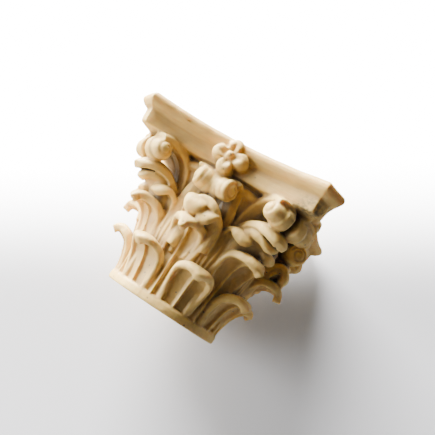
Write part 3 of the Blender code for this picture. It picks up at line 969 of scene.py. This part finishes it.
class CAPITAL_OT_cast(bpy.types.Operator):
    """Join all the carved forms under one skin, thin it, trim its ends and give it the resin"""

    bl_idname = "capital.cast"
    bl_label = "Cast in one piece"

    def execute(self, context):
        forms = [piece for piece in context.scene.objects if piece.get("carved_form")]
        if not forms:
            raise RuntimeError("carve the forms first: there is nothing to cast")
        bpy.ops.object.select_all(action="DESELECT")
        for form in forms:
            form.select_set(True)
        context.view_layer.objects.active = forms[0]
        bpy.ops.object.join()
        casting = context.active_object
        casting.name = "casting"
        applied(casting, "REMESH", mode="VOXEL", voxel_size=SKIN_VOXEL * MM, use_smooth_shade=True)
        applied(casting, "SMOOTH", factor=SMOOTHING, iterations=SMOOTHING_ROUNDS)
        faces = sum(len(face.vertices) - 2 for face in casting.data.polygons)
        applied(casting, "DECIMATE", ratio=FACES_KEPT / faces, use_collapse_triangulate=True)
        freed_of_scraps(casting)
        roughened(casting)
        trimmed_flat(casting, sizes().height)
        kept_in_box(casting)
        carve_values(casting, HOLLOW_RAYS)
        casting.data.materials.clear()
        casting.data.materials.append(resin(finish_colours(), shared_mottling(), pits_group()))
        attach(casting, "root")
        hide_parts(CAD_NODE)
        return {"FINISHED"}


def added(tree, kind, **settings):
    """A node in a tree, with its own settings."""
    node = tree.nodes.new(kind)
    for name, value in settings.items():
        setattr(node, name, value)
    return node


def put(tree, value, socket):
    """A link or a plain value into one input."""
    if isinstance(value, bpy.types.NodeSocket):
        tree.links.new(value, socket)
    else:
        socket.default_value = value


def fed(tree, node, **inputs):
    """Values or links into a node's inputs, each named as on the node with _ for a space."""
    for name, value in inputs.items():
        put(tree, value, node.inputs[name.replace("_", " ")])
    return node


def calculated(tree, operation, *values):
    """The result of a Math node."""
    node = added(tree, "ShaderNodeMath", operation=operation, use_clamp=operation in ("MULTIPLY", "ADD"))
    for socket, value in zip(node.inputs, values):
        put(tree, value, socket)
    return node.outputs["Value"]


def times(tree, first, second):
    """Two values multiplied."""
    return calculated(tree, "MULTIPLY", first, second)


def ranged(tree, value, low, high, start=0.0, end=1.0):
    """A value read between two limits, eased at both ends."""
    node = added(tree, "ShaderNodeMapRange", interpolation_type="SMOOTHSTEP")
    for socket, given in zip(node.inputs, (value, low, high, start, end)):
        put(tree, given, socket)
    return node.outputs["Result"]


def mixed(tree, share, first, second, blend_type="MIX"):
    """Two colours mixed by a share."""
    node = added(tree, "ShaderNodeMix", data_type="RGBA", blend_type=blend_type)
    for slot, value in zip(MIX_INPUTS, (share, first, second)):
        put(tree, value, node.inputs[slot])
    return node.outputs[MIX_RESULT]


def opaque(paint):
    """A colour with full cover, as a colour input takes it."""
    return (*paint, 1.0)


def attribute(tree, name):
    """A value carved into the mesh, such as how deep a point lies."""
    return added(tree, "ShaderNodeAttribute", attribute_name=name).outputs["Fac"]


def in_millimetres(tree, scale=(1.0, 1.0, 1.0)):
    """The place on the piece in millimetres, stretched by a scale."""
    place = added(tree, "ShaderNodeTexCoord").outputs["Object"]
    mapping = added(tree, "ShaderNodeMapping")
    return fed(tree, mapping, Vector=place, Scale=[value / MM for value in scale]).outputs["Vector"]


def new_group(name, values, results):
    """A shader node group that takes a place and named values and gives named values."""
    group = bpy.data.node_groups.new(name, "ShaderNodeTree")
    group.interface.new_socket(name="Place", in_out="INPUT", socket_type="NodeSocketVector")
    for label in values:
        group.interface.new_socket(name=label, in_out="INPUT", socket_type="NodeSocketFloat")
    for label in results:
        group.interface.new_socket(name=label, in_out="OUTPUT", socket_type="NodeSocketFloat")
    given = group.nodes.new("NodeGroupInput")
    made = group.nodes.new("NodeGroupOutput")
    return group, given.outputs, made.inputs


def mottling_group():
    """Soft uneven patches, as a mask between two limits of a noise."""
    group, given, made = new_group("mottling", ("Scale", "Low", "High"), ("Mask", "Height"))
    uneven = added(group, "ShaderNodeTexNoise")
    fed(group, uneven, Vector=given["Place"], Scale=given["Scale"], **MOTTLING_NOISE)
    group.links.new(ranged(group, uneven.outputs["Fac"], given["Low"], given["High"]), made["Mask"])
    group.links.new(uneven.outputs["Fac"], made["Height"])
    return group


def shared_mottling():
    """The one mottling group that the resin and the floor share."""
    return bpy.data.node_groups.get("mottling") or mottling_group()


def pits_group():
    """Small round pits, a few here and there."""
    group, given, made = new_group("pits", ("Scale", "Size", "Share"), ("Mask",))
    cells = added(group, "ShaderNodeTexVoronoi")
    fed(group, cells, Vector=given["Place"], Scale=given["Scale"], Randomness=1.0)
    split = added(group, "ShaderNodeSeparateColor")
    fed(group, split, Color=cells.outputs["Color"])
    chosen = calculated(group, "LESS_THAN", split.outputs["Red"], given["Share"])
    floor_of_pit = times(group, given["Size"], PIT_FLOOR)
    hole = ranged(group, cells.outputs["Distance"], given["Size"], floor_of_pit)
    group.links.new(times(group, chosen, hole), made["Mask"])
    return group


def placed(tree, group, **inputs):
    """A node group placed in a material with its own values."""
    node = added(tree, "ShaderNodeGroup", node_tree=group)
    return fed(tree, node, **inputs).outputs


def resin(colours, mottling, pits):
    """Ivory casting resin: paler crests, painted amber shade in the hollows, a painted warm rim light along
    the lip, drag marks, pits and a painted shadow under the front right horn.
    """
    material = bpy.data.materials.new("ivory_resin")
    material.use_nodes = True
    tree = material.node_tree
    shader = tree.nodes["Principled BSDF"]
    place = in_millimetres(tree)
    hollow = attribute(tree, "hollow")
    crest = attribute(tree, "crest")
    height = fed(tree, added(tree, "ShaderNodeSeparateXYZ"), Vector=place).outputs["Z"]

    patches = placed(tree, mottling, Place=place, **PATCHES)
    specks = placed(tree, mottling, Place=place, **SPECKS)
    drag = placed(tree, mottling, Place=in_millimetres(tree, LEVEL_STREAKS), **DRAG_MARKS)
    veins = placed(tree, mottling, Place=in_millimetres(tree, UPRIGHT_STREAKS), **VEINS)
    holes = placed(tree, pits, Place=place, **PITS)["Mask"]
    grain = fed(tree, added(tree, "ShaderNodeTexNoise"), Vector=place, **GRAIN)

    on_slab = ranged(tree, height, *SLAB_HEIGHTS)
    cream = opaque(colours.cream)
    ivory = mixed(tree, times(tree, patches["Mask"], PATCH_CREAM), opaque(colours.ivory), cream)
    # Paler cream laid on the convex crests
    convex = mixed(tree, ranged(tree, crest, *CREST_CREAM), ivory, cream)
    # Painted shade: amber laid into the hollows, with a little more on the random specks
    depth = calculated(tree, "ADD", ranged(tree, hollow, *HOLLOW_PAINTED_SHADE),
                       times(tree, specks["Mask"], SPECK_AMBER))
    shaded = mixed(tree, depth, convex, opaque(colours.amber))
    streaks = times(tree, times(tree, drag["Mask"], on_slab), DRAG_TAN)
    shaded = mixed(tree, streaks, shaded, opaque(colours.tan), "MULTIPLY")
    # Painted shadow: a dark patch under the front right horn, where the ribbon's top lies in shade, broken
    # up by the specks
    from_shadow_patch = added(tree, "ShaderNodeVectorMath", operation="DISTANCE")
    fed(tree, from_shadow_patch, Vector=place)
    from_shadow_patch.inputs[1].default_value = SHADOW_PATCH_PLACE
    painted_shadow = times(tree, ranged(tree, from_shadow_patch.outputs["Value"], *SHADOW_PATCH_REACH),
                 ranged(tree, specks["Height"], *SHADOW_PATCH_SPECKS))
    shaded = mixed(tree, painted_shadow, shaded, SHADOW_PATCH_COLOUR)
    # Painted warm rim light along the lip of the top slab, in patches
    lip_glow = times(tree, ranged(tree, height, *LIP_HEIGHTS), ranged(tree, patches["Height"], *LIP_GLOW_PATCHES))
    with_lip_glow = mixed(tree, lip_glow, shaded, opaque(colours.tan))
    marked = mixed(tree, times(tree, holes, PIT_AMBER), with_lip_glow, opaque(colours.amber))

    marks = mixed(tree, on_slab, veins["Height"], drag["Height"])
    relief = calculated(tree, "SUBTRACT", marks, times(tree, holes, PIT_DEPTH))
    relief = calculated(tree, "ADD", times(tree, relief, MARK_RELIEF),
                        times(tree, grain.outputs["Fac"], GRAIN_RELIEF))
    bump = fed(tree, added(tree, "ShaderNodeBump"), Height=relief, **BUMP)
    rough = ranged(tree, specks["Height"], *SPECK_ROUGHNESS)
    fed(tree, shader, Base_Color=marked, Roughness=rough, Normal=bump.outputs["Normal"], **RESIN_BODY)
    return material


def neighbour_mean(values, pairs, valence):
    """The mean of each vertex's neighbours."""
    total = np.zeros_like(values)
    np.add.at(total, pairs[:, 0], values[pairs[:, 1]])
    np.add.at(total, pairs[:, 1], values[pairs[:, 0]])
    return total / (valence if values.ndim == 1 else valence[:, None])


def eased(values, pairs, valence, rounds):
    """Values evened out over their neighbours, a few rounds."""
    for _ in range(rounds):
        values = 0.5 * values + 0.5 * neighbour_mean(values, pairs, valence)
    return values


def sky_directions(count):
    """Directions spread over the half sphere about +Z, more of them near its middle."""
    golden = pi * (3.0 - sqrt(5.0))
    index = np.arange(count)
    reach = np.sqrt((index + 0.5) / count)
    return np.stack((reach * np.cos(golden * index), reach * np.sin(golden * index),
                     np.sqrt(1.0 - reach ** 2)), axis=1)


def depths_of(mesh, places, normals, rays, limit):
    """How closed in each vertex is, from 0 in the open to 1 where all directions meet the casting soon."""
    tree = BVHTree.FromPolygons(places.tolist(), [tuple(face.vertices) for face in mesh.polygons])
    helper = np.where(np.abs(normals[:, 2:3]) < NEARLY_UPRIGHT, ((0.0, 0.0, 1.0),), ((1.0, 0.0, 0.0),))
    across = np.cross(helper, normals)
    across /= np.maximum(np.linalg.norm(across, axis=1), LEAST_LENGTH)[:, None]
    upward = np.cross(normals, across)
    closed = np.zeros(len(places))
    starts = [Vector(point) for point in places + normals * RAY_START * MM]
    for x, y, z in sky_directions(rays):
        headings = across * x + upward * y + normals * z
        for index, heading in enumerate(headings.tolist()):
            reach = tree.ray_cast(starts[index], heading, limit)[3]
            if reach is not None:
                closed[index] += 1.0 - FAR_SHARE * reach / limit
    return closed / rays


def carve_values(casting, rays):
    """The casting's own hollow and crest values, for its material to read."""
    mesh = casting.data
    count = len(mesh.vertices)
    places = np.empty(count * 3)
    mesh.vertices.foreach_get("co", places)
    places = places.reshape(-1, 3)
    normals = np.empty(count * 3)
    mesh.vertices.foreach_get("normal", normals)
    normals = normals.reshape(-1, 3)
    pairs = np.empty(len(mesh.edges) * 2, dtype=np.int64)
    mesh.edges.foreach_get("vertices", pairs)
    pairs = pairs.reshape(-1, 2)
    valence = np.maximum(1.0, np.bincount(pairs.ravel(), minlength=count).astype(float))
    hollow = depths_of(mesh, places, normals, rays, HOLLOW_REACH * MM)
    hollow = eased(hollow, pairs, valence, HOLLOW_ROUNDS)
    even = eased(places, pairs, valence, CREST_SPREAD)
    crest = np.einsum("ij,ij->i", places - even, normals) / MM
    crest = eased(crest, pairs, valence, CREST_ROUNDS)
    for name, values in (("hollow", hollow), ("crest", np.clip(crest / CREST_HEIGHT, -1.0, 1.0))):
        carved = mesh.attributes.new(name, "FLOAT", "POINT")
        carved.data.foreach_set("value", values.astype(np.float32))


def floor_material(colours, mottling):
    """A pale matt floor with painted light, glowing brighter towards its far side and a little everywhere,
    shown from its front alone and faded at its rim.
    """
    material = bpy.data.materials.new("pale_floor")
    material.use_nodes = True
    tree = material.node_tree
    shader = tree.nodes["Principled BSDF"]
    output = tree.nodes["Material Output"]
    place = in_millimetres(tree)
    cloudy = placed(tree, mottling, Place=place, **CLOUDS)["Mask"]
    paint = mixed(tree, times(tree, cloudy, CLOUD_SHARE), opaque(colours.floor), CLOUD_COLOUR)
    far = fed(tree, added(tree, "ShaderNodeVectorMath", operation="DOT_PRODUCT"), Vector=place)
    far.inputs[1].default_value = FLOOR_FAR
    # Painted light: the floor glows brighter towards its far side where the camera sees it, for the fall-off
    # from the back light, and a least glow everywhere lifts its shadows
    seen = added(tree, "ShaderNodeLightPath").outputs["Is Camera Ray"]
    glow = calculated(tree, "MINIMUM", ranged(tree, far.outputs["Value"], FLOOR_DIM, FLOOR_BRIGHT), seen)
    glow = ranged(tree, glow, 0.0, 1.0, FLOOR_LEAST_GLOW, FLOOR_GLOW)
    fed(tree, shader, Base_Color=paint, Emission_Strength=glow, **FLOOR_BODY)
    clear = added(tree, "ShaderNodeBsdfTransparent")
    distance = added(tree, "ShaderNodeVectorMath", operation="LENGTH")
    fed(tree, distance, Vector=place)
    hidden = calculated(tree, "MAXIMUM", added(tree, "ShaderNodeNewGeometry").outputs["Backfacing"],
                        ranged(tree, distance.outputs["Value"], *FLOOR_FADE))
    blend = added(tree, "ShaderNodeMixShader")
    tree.links.new(hidden, blend.inputs[0])
    tree.links.new(shader.outputs["BSDF"], blend.inputs[1])
    tree.links.new(clear.outputs["BSDF"], blend.inputs[2])
    tree.links.new(blend.outputs["Shader"], output.inputs["Surface"])
    return material


def soft_light(name, heading, distance, size, power):
    """A square soft light that shines at the middle of the capital from a heading."""
    aim = Vector((0.0, 0.0, 0.5 * sizes().height))
    heading = Vector(heading).normalized()
    bpy.ops.object.light_add(type="AREA", location=aim + heading * distance)
    light = bpy.context.active_object
    light.name = name
    light.rotation_euler = heading.to_track_quat("Z", "Y").to_euler()
    light.data.energy = power
    light.data.size = size
    return light


class CAPITAL_OT_stage(bpy.types.Operator):
    """Set the pale floor, the soft light and the camera"""

    bl_idname = "capital.stage"
    bl_label = "Stage"

    def execute(self, context):
        colours = finish_colours()
        bpy.ops.object.select_all(action="DESELECT")
        bpy.ops.mesh.primitive_circle_add(vertices=FLOOR_STEPS, radius=FLOOR_RADIUS, fill_type="NGON")
        floor = context.active_object
        floor.name = "floor"
        normal = Vector(FLOOR_NORMAL).normalized()
        floor.data.transform(normal.to_track_quat("Z", "Y").to_matrix().to_4x4())
        floor.data.transform(Matrix.Translation(Vector(FLOOR_PLACE) * MM))
        floor.data.materials.append(floor_material(colours, shared_mottling()))
        floor.visible_glossy = False
        floor.visible_shadow = False
        soft_light("key_light", power=colours.key_power, **KEY_LIGHT)
        soft_light("back_light", **BACK_LIGHT)
        soft_light("fill_light", **FILL_LIGHT)
        bpy.ops.object.camera_add(location=CAMERA_PLACE)
        camera = context.active_object
        turned = Matrix((CAMERA_RIGHT, CAMERA_UP, CAMERA_BACK)).transposed()
        camera.rotation_euler = turned.to_euler()
        camera.data.lens = CAMERA_LENS
        camera.data.sensor_width = CAMERA_SENSOR
        camera.data.clip_start = CAMERA_NEAR
        context.scene.camera = camera
        context.scene.world = surround(colours)
        return {"FINISHED"}


def surround(colours):
    """A pale surround: bright where it is seen, and dimmer as a fill light."""
    world = bpy.data.worlds.new("pale_surround")
    world.use_nodes = True
    tree = world.node_tree
    background = tree.nodes["Background"]
    seen = added(tree, "ShaderNodeLightPath").outputs["Is Camera Ray"]
    strength = ranged(tree, seen, 0.0, 1.0, colours.sky_strength, SEEN_SKY)
    fed(tree, background, Color=WHITE, Strength=strength)
    return world


class CAPITAL_PT_panel(bpy.types.Panel):
    """Sizes, colours and steps of the capital"""

    bl_idname = "CAPITAL_PT_panel"
    bl_label = "Corinthian capital"
    bl_space_type = "VIEW_3D"
    bl_region_type = "UI"
    bl_category = "Capital"

    def draw(self, context):
        column = self.layout.column()
        for settings in (context.scene.capital_sizes, context.scene.capital_finish):
            for name in settings.__annotations__:
                column.prop(settings, name)
        for step in STEPS:
            column.operator(step.bl_idname)


STEPS = (CAPITAL_OT_bell, CAPITAL_OT_abacus, CAPITAL_OT_leaves, CAPITAL_OT_scrolls, CAPITAL_OT_flowers,
         CAPITAL_OT_cast, CAPITAL_OT_stage)
CLASSES = (CapitalSizes, CapitalFinish) + STEPS + (CAPITAL_PT_panel,)


def register():
    for kind in CLASSES:
        bpy.utils.register_class(kind)
    bpy.types.Scene.capital_sizes = bpy.props.PointerProperty(type=CapitalSizes)
    bpy.types.Scene.capital_finish = bpy.props.PointerProperty(type=CapitalFinish)


def unregister():
    del bpy.types.Scene.capital_finish
    del bpy.types.Scene.capital_sizes
    for kind in reversed(CLASSES):
        bpy.utils.unregister_class(kind)


def main():
    register()
    bpy.ops.capital.bell()
    bpy.ops.capital.abacus()
    bpy.ops.capital.leaves()
    bpy.ops.capital.scrolls()
    bpy.ops.capital.flowers()
    bpy.ops.capital.cast()
    bpy.ops.capital.stage()


if __name__ == "__main__":
    main()
